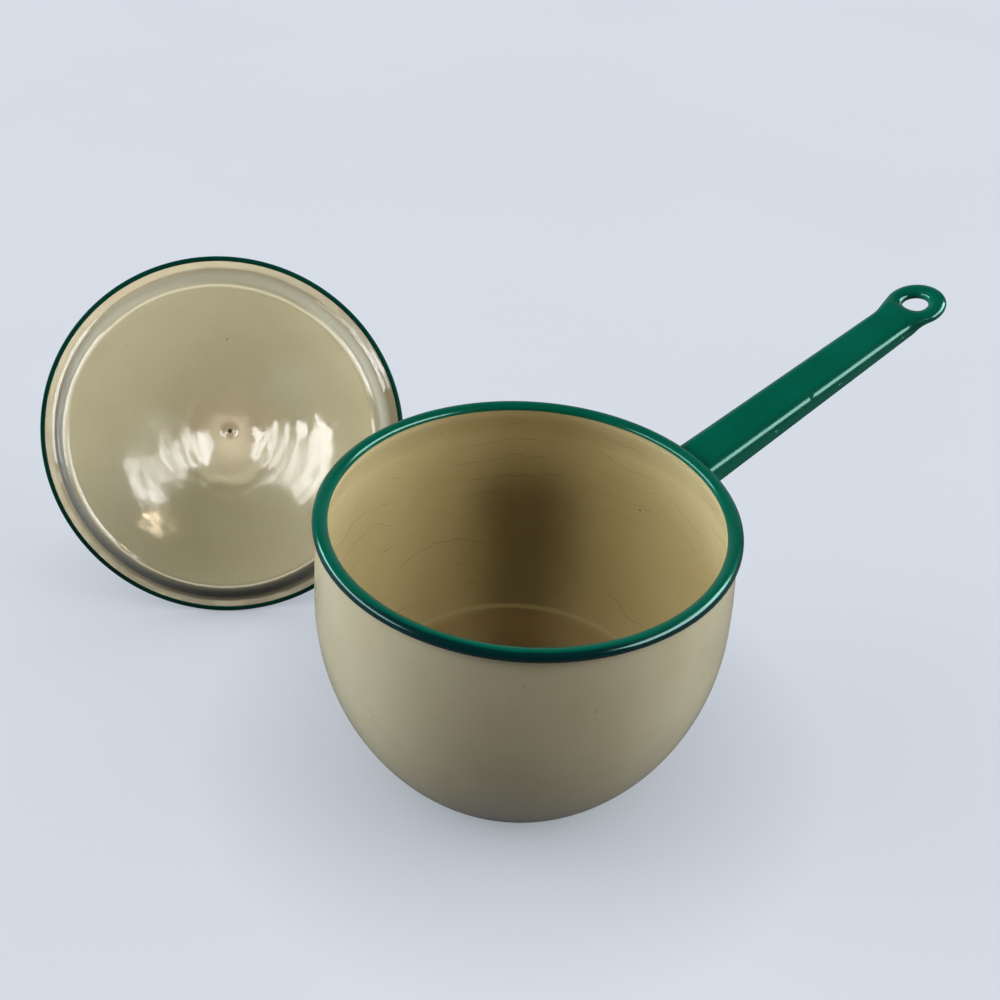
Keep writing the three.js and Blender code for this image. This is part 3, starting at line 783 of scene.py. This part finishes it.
# %% Wrap the handle's skin
def slope_of(field, points, step=0.02):
    slope = np.empty_like(points)
    for axis in range(3):
        shift = np.zeros(3)
        shift[axis] = step
        slope[:, axis] = (field(*(points + shift).T) - field(*(points - shift).T)) / (2 * step)
    return slope


def wrapped(name, field, low, high, cell, place):
    axes = [np.arange(a, b + cell, cell) for a, b in zip(low, high)]
    values = field(*np.meshgrid(*axes, indexing="ij"))
    solid = values < 0
    count = np.array(values.shape) - 1
    filled = np.zeros(count, int)
    for i, j, k in np.ndindex(2, 2, 2):
        filled += solid[i:i + count[0], j:j + count[1], k:k + count[2]]
    crossed = (filled > 0) & (filled < 8)
    index = -np.ones(count, int)
    index[crossed] = np.arange(crossed.sum())
    points = (np.argwhere(crossed) + 0.5) * cell + np.array(low)
    for _ in range(6):
        slope = slope_of(field, points)
        size = np.maximum((slope ** 2).sum(1), 0.05)
        step = slope * (field(*points.T) / size)[:, None]
        points -= np.clip(step, -0.4 * cell, 0.4 * cell)
    faces = []
    for axis in range(3):
        u, v = [a for a in range(3) if a != axis]
        here, there = [slice(1, -1)] * 3, [slice(1, -1)] * 3
        here[axis], there[axis] = slice(0, -1), slice(1, None)
        first, second = solid[tuple(here)], solid[tuple(there)]
        spots = np.argwhere(first != second)
        inward = first[tuple(spots.T)]
        spots[:, u] += 1
        spots[:, v] += 1
        quad = []
        for du, dv in ((-1, -1), (0, -1), (0, 0), (-1, 0)):
            at = spots.copy()
            at[:, u] += du
            at[:, v] += dv
            quad.append(index[tuple(at.T)])
        quad = np.array(quad).T
        flip = inward if axis != 1 else ~inward
        quad[~flip] = quad[~flip][:, ::-1]
        faces.append(quad)
    faces = np.vstack(faces)
    mesh = bpy.data.meshes.new(name)
    mesh.from_pydata((points * MM).tolist(), [], faces.tolist())
    mesh.transform(place)
    mesh.shade_smooth()
    normals = slope_of(field, points) @ np.array(place.to_3x3()).T
    normals /= np.maximum(np.linalg.norm(normals, axis=1), 1e-6)[:, None]
    mesh.normals_split_custom_set_from_vertices(normals.tolist())
    piece = bpy.data.objects.new(name, mesh)
    bpy.context.scene.collection.objects.link(piece)
    print("%s: %d faces" % (name, len(faces)))
    return piece


handle_place = Matrix.Translation(Vector(HANDLE_START) * MM) @ Matrix.Rotation(-SLOPE, 4, "Y")
grip = wrapped("hanging_handle", handle_field, (-8, -18, -17), (159, 18, 5), 0.6, handle_place)
settle(grip, "pan", "green_enamel", green, "handle")

# %% [markdown]
# ## Weld at the handle's root
# A fine seam of weld runs round the root, under the same green glaze, and shows
# as a thin line beside the rim. It is a closed curve with a round bevel. Its
# points are found by walking each line of the beam's skin towards the pan until
# it touches.

# %% Weld
WELD_ROUND = 0.55


def root_outline(count=96):
    points = []
    root_middle = np.array([0.0, -ROOT_DEPTH / 2])
    for angle in np.linspace(0, 2 * np.pi, count, endpoint=False):
        direction = np.array([math.cos(angle), math.sin(angle)])
        near, far = 0.0, 30.0
        for _ in range(30):
            middle = (near + far) / 2
            y, z = direction * middle + root_middle
            if beam_section(4.0, y, z) > 0.35:
                far = middle
            else:
                near = middle
        y, z = direction * near + root_middle
        steps = np.linspace(16, -6, 400)
        touch = np.argmax(pan_field(steps, y, z) < WELD_ROUND)
        points.append((steps[touch], y, z))
    return points


weld_curve = bpy.data.curves.new("weld_seam", "CURVE")
weld_curve.dimensions = "3D"
weld_curve.bevel_depth = WELD_ROUND * MM
weld_curve.bevel_resolution = 4
run = weld_curve.splines.new("POLY")
seam_points = root_outline()
run.points.add(len(seam_points) - 1)
for point, spot in zip(run.points, seam_points):
    point.co = (*(handle_place @ (Vector(spot) * MM)), 1.0)
run.use_cyclic_u = True
weld = bpy.data.objects.new("weld_seam", weld_curve)
bpy.context.scene.collection.objects.link(weld)
settle(weld, "pan", "green_enamel", green, "handle_weld")
print("weld: %d points round the root" % len(seam_points))

# %% [markdown]
# ## Lid
# The lid is one pressed sheet: a dome, a plug wall that drops into the pan's
# mouth, and a flange that rests on the rim. It stands on its edge with the knob
# to the back, so its frame has the knob's axis as Z and its lowest edge as X.

# %% Where the lid stands
LID_BEARING, LID_DISTANCE = math.radians(107.8), 191.8
KNOB_BEARING, LID_LEAN = math.radians(61.0), math.radians(24.3)
LID_SHEET, EDGE_CENTRE, EDGE_ROUND = 1.3, (90.1, 0.65), 1.3
TABLE_GAP = 0.1


def level(bearing):
    return Vector((math.cos(bearing), math.sin(bearing), 0.0))


edge_drop = EDGE_CENTRE[0] * math.cos(LID_LEAN) + EDGE_CENTRE[1] * math.sin(LID_LEAN)
lid_height = edge_drop + EDGE_ROUND + TABLE_GAP
lid_centre = level(LID_BEARING) * LID_DISTANCE + Vector((0, 0, lid_height))
knob_axis = level(KNOB_BEARING) * math.cos(LID_LEAN) - Vector((0, 0, math.sin(LID_LEAN)))
low_edge = (Vector((0, 0, -1)) + knob_axis * knob_axis.z).normalized()
side_edge = knob_axis.cross(low_edge)
lid_place = Matrix((low_edge, side_edge, knob_axis)).transposed().to_4x4()
lid_place.translation = lid_centre * MM
packed_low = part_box("lid_edge_roll")[0]
print("lid centre", [round(v, 1) for v in lid_centre])
print("packed edge from", [round(v, 4) for v in packed_low])

# %% [markdown]
# The dome is a shallow bowl with the vent hole at its crown, where the punch left
# a small dimple. Spinning left a few faint rings round it, less than a tenth of a
# millimetre deep. Gloss shows them even at that depth.

# %% Lid shell
PLUG, PLUG_DEPTH, FOOT_ROUND, DOME_RISE = 77.3, 6.5, 3.4, 25.0
FLANGE_START, FLANGE_END = (86.0, 0.0), (89.2, 0.0)
DOME_TURN = math.degrees(2 * math.atan((DOME_RISE + PLUG_DEPTH) / PLUG))
DOME_ROUND = PLUG / math.sin(math.radians(DOME_TURN)) - FOOT_ROUND
DOME_CENTRE = (0.0, DOME_RISE - DOME_ROUND)
VENT = 1.2
# depth and spread of the dimple, then depth, pitch, middle and spread of the rings
DIMPLE, RINGS = (1.0, 3.2), (0.07, 1.9, 27.0, 9.0)

vent_turn = 90 - math.degrees(math.asin(VENT / DOME_ROUND))
dome = arc(DOME_CENTRE, (DOME_ROUND,) * 2, vent_turn, 90 - DOME_TURN, 150)
dome[:, 1] += DIMPLE[0] * np.exp(-(dome[:, 0] / DIMPLE[1]) ** 2)
ring_share = np.exp(-((dome[:, 0] - RINGS[2]) / RINGS[3]) ** 2)
dome[:, 1] += RINGS[0] * np.sin(dome[:, 0] / RINGS[1]) * ring_share
foot = arc((PLUG, FOOT_ROUND - PLUG_DEPTH), (FOOT_ROUND,) * 2, 270 - DOME_TURN - 1.4, 270, 14)
halfway = (PLUG + FLANGE_START[0]) / 2
plug_wall = bend([(PLUG, -PLUG_DEPTH), (halfway, -PLUG_DEPTH), (halfway, 0.0), FLANGE_START], 26)
lid_under = outline(dome, foot, plug_wall, line(FLANGE_START, FLANGE_END, 5))
along = np.gradient(lid_under, axis=0)
along /= np.linalg.norm(along, axis=1)[:, None]
lid_top = lid_under + np.c_[-along[:, 1], along[:, 0]] * LID_SHEET
lid_shell = turned("lid_sheet", outline(lid_under, lid_top[::-1]), 224, place=lid_place)
print("dome rises %.1f mm above the flange" % lid_under[:, 1].max())

# %% [markdown]
# ## Cream enamel of the lid
# The lid's cream is a shade lighter and yellower than the bowl's. It is worn to a
# peachy tan on the flange and round the crown. On the plug wall it is thin, so
# that the dark ground coat greys it, and painted shade darkens that grey most of
# all low on the left. The pressed sheet is never quite even: soft dents and spun
# ripples a centimetre wide break the reflections into flames. Noise gives both as
# bump. It is looked up by place for the dents. For the ripples it is looked up by
# the distance from the crown and, much more slowly, by the direction from it, so
# that they run in arcs.

# %% Cream enamel of the lid
LID_IVORY = (0.455, 0.413, 0.266, 1.0), (0.490, 0.450, 0.304, 1.0)
CROWN_PEACH, FLANGE_TAN = (0.600, 0.475, 0.315, 1.0), (0.370, 0.320, 0.220, 1.0)
WALL_GREY_AND_SHADE_TONES = (0.330, 0.355, 0.345, 1.0), (0.070, 0.080, 0.095, 1.0)
LID_SPECK, LID_SCRATCH = (0.12, 0.085, 0.05, 1.0), (0.33, 0.27, 0.18, 1.0)
LID_SPECKS = (190.0, 0.085, 0.22, 0.45), (60.0, 0.050, 0.15, 0.75)

lid_cream, tree, surface, place, relief, scratch = new_enamel(
    "lid cream enamel", 0.10, 0.20, 0.08, axes=lid_place)
spot = add_node(tree, "ShaderNodeSeparateXYZ")
join(tree, place, spot.inputs[0])
flat = add_node(tree, "ShaderNodeCombineXYZ")
join(tree, spot.outputs["X"], flat.inputs["X"])
join(tree, spot.outputs["Y"], flat.inputs["Y"])
radius_node = add_node(tree, "ShaderNodeVectorMath", {"operation": "LENGTH"})
join(tree, flat.outputs[0], radius_node.inputs[0])
from_axis = radius_node.outputs["Value"]

tone = effect(tree, drift, place, Scale=18.0, Fine=90.0)
ivory = tint(tree, tone, *LID_IVORY)
rubbed = maths(tree, "ADD", tone, 0.45)
crown_tan = fade(tree, from_axis, 0.008, 0.034, 0.55, 0.0)
crown_worn = maths(tree, "MULTIPLY", crown_tan, rubbed, clamp=True)
flange_tan = fade(tree, from_axis, 0.0838, 0.0856, 0.0, 0.9)
flange_worn = maths(tree, "MULTIPLY", flange_tan, rubbed, clamp=True)
tanned = tint(tree, flange_worn, tint(tree, crown_worn, ivory, CROWN_PEACH), FLANGE_TAN)
wall_band = strip(tree, from_axis, (0.0745, 0.0815), (0.0832, 0.0856))
# Painted shade: the plug wall's grey darkens towards its low left side.
low_left = weighted(tree, (spot.outputs["X"], 1.0), (spot.outputs["Y"], 0.7))
glaze_and_painted_shade = maths(tree, "MULTIPLY", wall_band, fade(tree, low_left, -0.06, 0.09, 0.35, 0.92))
wall_grey_with_painted_shade = tint(tree, fade(tree, low_left, -0.07, 0.03), *WALL_GREY_AND_SHADE_TONES)
greyed_and_shaded = tint(tree, glaze_and_painted_shade, tanned, wall_grey_with_painted_shade)
speckled = tint(tree, speckle(tree, place, *LID_SPECKS), greyed_and_shaded, LID_SPECK)
finished = tint(tree, maths(tree, "MULTIPLY", scratch, 0.15), speckled, LID_SCRATCH)
join(tree, finished, surface.inputs["Base Color"])

dents = add_node(tree, "ShaderNodeTexNoise", Scale=78.0, Detail=1.0)
join(tree, place, dents.inputs["Vector"])
ray_direction = add_node(tree, "ShaderNodeVectorMath", {"operation": "NORMALIZE"})
join(tree, flat.outputs[0], ray_direction.inputs[0])
slow_turn = add_node(tree, "ShaderNodeVectorMath", {"operation": "SCALE"}, Scale=0.012)
join(tree, ray_direction.outputs[0], slow_turn.inputs[0])
outward = add_node(tree, "ShaderNodeCombineXYZ")
join(tree, from_axis, outward.inputs["Z"])
in_arcs = add_node(tree, "ShaderNodeVectorMath", {"operation": "ADD"})
join(tree, slow_turn.outputs[0], in_arcs.inputs[0])
join(tree, outward.outputs[0], in_arcs.inputs[1])
ripples = add_node(tree, "ShaderNodeTexNoise", Scale=110.0, Detail=1.5)
join(tree, in_arcs.outputs[0], ripples.inputs["Vector"])
uneven = weighted(tree, (dents.outputs["Fac"], 0.5), (ripples.outputs["Fac"], 0.5))
dent_relief = add_node(tree, "ShaderNodeBump", Strength=1.0, Distance=0.95 * MM)
off_crown = fade(tree, from_axis, 0.006, 0.022)
join(tree, maths(tree, "MULTIPLY", uneven, off_crown), dent_relief.inputs["Height"])
join(tree, relief.outputs["Normal"], dent_relief.inputs["Normal"])
join(tree, dent_relief.outputs["Normal"], surface.inputs["Normal"])
settle(lid_shell, "lid", "lid_enamel", lid_cream, "lid_shell")
print("finish:", lid_cream.name)

# %% [markdown]
# ## Lid edge
# The flange ends in a thin green roll, on which the lid stands here. Its green is
# a darker copy of the rim's, which paints the shade that falls on this edge.

# %% Lid edge
# Painted shade: a darker copy of the green for the lid's edge.
EDGE_SHADE_GREEN = (0.0004, 0.040, 0.027, 1.0), (0.0006, 0.055, 0.037, 1.0)

edge_outline = arc(EDGE_CENTRE, (EDGE_ROUND,) * 2, 0, 360, 33)[:-1]
lid_edge = turned("lid_edge", edge_outline, 256, place=lid_place)
edge_shade_green = green_enamel("green enamel of the lid's edge", *EDGE_SHADE_GREEN)[0]
settle(lid_edge, "lid", "green_enamel", edge_shade_green, "lid_edge_roll")

# %% [markdown]
# ## Knob
# The knob is hidden behind the lid in the first view. It is made as such knobs
# usually are: a hollow stem with a flared foot, and a pressed cap on its spigot.
# Both are turned outlines on the lid's axis, with heights counted from the crown.

# %% Knob stem
CROWN = DOME_RISE + LID_SHEET
KNOB_SHEET, FIT, CAP_LOW, CAP_WIDE, CAP_TOP = 1.3, 0.3, 15.0, (17.5, 21.0), 31.0
FOOT, WAIST, COLLAR, SPIGOT = 12.5, 7.6, 11.5, 9.6
MID_STEM, SPIGOT_HEIGHT, LIP_ROUND = CROWN + 7.5, 2.6, 0.5


def dome_top(radius):
    return DOME_CENTRE[1] + math.sqrt((DOME_ROUND + LID_SHEET) ** 2 - radius ** 2)


foot_low, bore = dome_top(FOOT) + FIT, WAIST - KNOB_SHEET
foot_high, foot_lip, collar_lip = foot_low + KNOB_SHEET, FOOT - LIP_ROUND, COLLAR - LIP_ROUND
collar_top = CROWN + CAP_LOW - FIT
collar_low, spigot_top = collar_top - KNOB_SHEET, collar_top + SPIGOT_HEIGHT
lip_half = (LIP_ROUND, KNOB_SHEET / 2)
stem_outline = outline(
    line((bore, dome_top(bore) + FIT), (foot_lip, dome_top(foot_lip) + FIT), 8),
    arc((foot_lip, foot_low + KNOB_SHEET / 2), lip_half, -90, 90, 9),
    bend([(foot_lip, foot_high), (WAIST, foot_high), (WAIST, MID_STEM)], 20),
    bend([(WAIST, MID_STEM), (WAIST, collar_low), (collar_lip, collar_low)], 20),
    arc((collar_lip, collar_top - KNOB_SHEET / 2), lip_half, -90, 90, 9),
    line((SPIGOT, collar_top), (SPIGOT, spigot_top), 4),
    line((bore, spigot_top), (bore, dome_top(bore) + FIT), 10),
)
stem = turned("knob_neck", stem_outline, 96, place=lid_place)
settle(stem, "lid", "green_enamel", green, "knob_stem")


# %% Knob cap
def cap_face(depth):
    widest = (CAP_WIDE[0] - depth, CROWN + CAP_WIDE[1])
    low, top = CROWN + CAP_LOW + depth, CROWN + CAP_TOP - depth
    under = bend([(SPIGOT + FIT, low), (widest[0], low), widest], 22)
    over = arc((0.0, widest[1]), (widest[0], top - widest[1]), 0, 90, 30)
    over[-1, 0] = 0.0
    return outline(under, over)


cap_outline = outline(cap_face(0.0)[::-1], cap_face(KNOB_SHEET))
cap = turned("knob_top", cap_outline, 96, closed=False, place=lid_place)
settle(cap, "lid", "green_enamel", green, "knob_cap")

# %% [markdown]
# ## Which lamp lights what
# The lid leans back, and its hollow looks down at the table in front of it, which
# lights it from below. A soft lamp that lies there, face up, does that. Light
# linking keeps it off the pan, as a photographer does with a card that shades one
# thing. In the same way the panes show in the lid alone and the side panels in
# the green.

# %% Light linking
def lights_only(lamp, *pieces):
    group = bpy.data.collections.new("lit by " + lamp.name)
    for piece in pieces:
        group.objects.link(piece)
    lamp.light_linking.receiver_collection = group


fill = bright_panel("lid fill", -138, -13, 0.46, 0.36, 0.26, 5.2, (1.0, 0.98, 0.93))
fill.location.z = 0.004
fill.rotation_quaternion = Quaternion((1, 0, 0), math.pi)
fill.visible_diffuse = True
fill.visible_camera = fill.visible_glossy = False
lights_only(fill, lid_shell)
for lamp in lid_panels:
    lights_only(lamp, lid_shell, stem, cap)
for lamp in side_panels:
    lights_only(lamp, rim, grip, weld)
print("linked lamps:", [lamp.name for lamp in lid_panels + side_panels + [fill]])
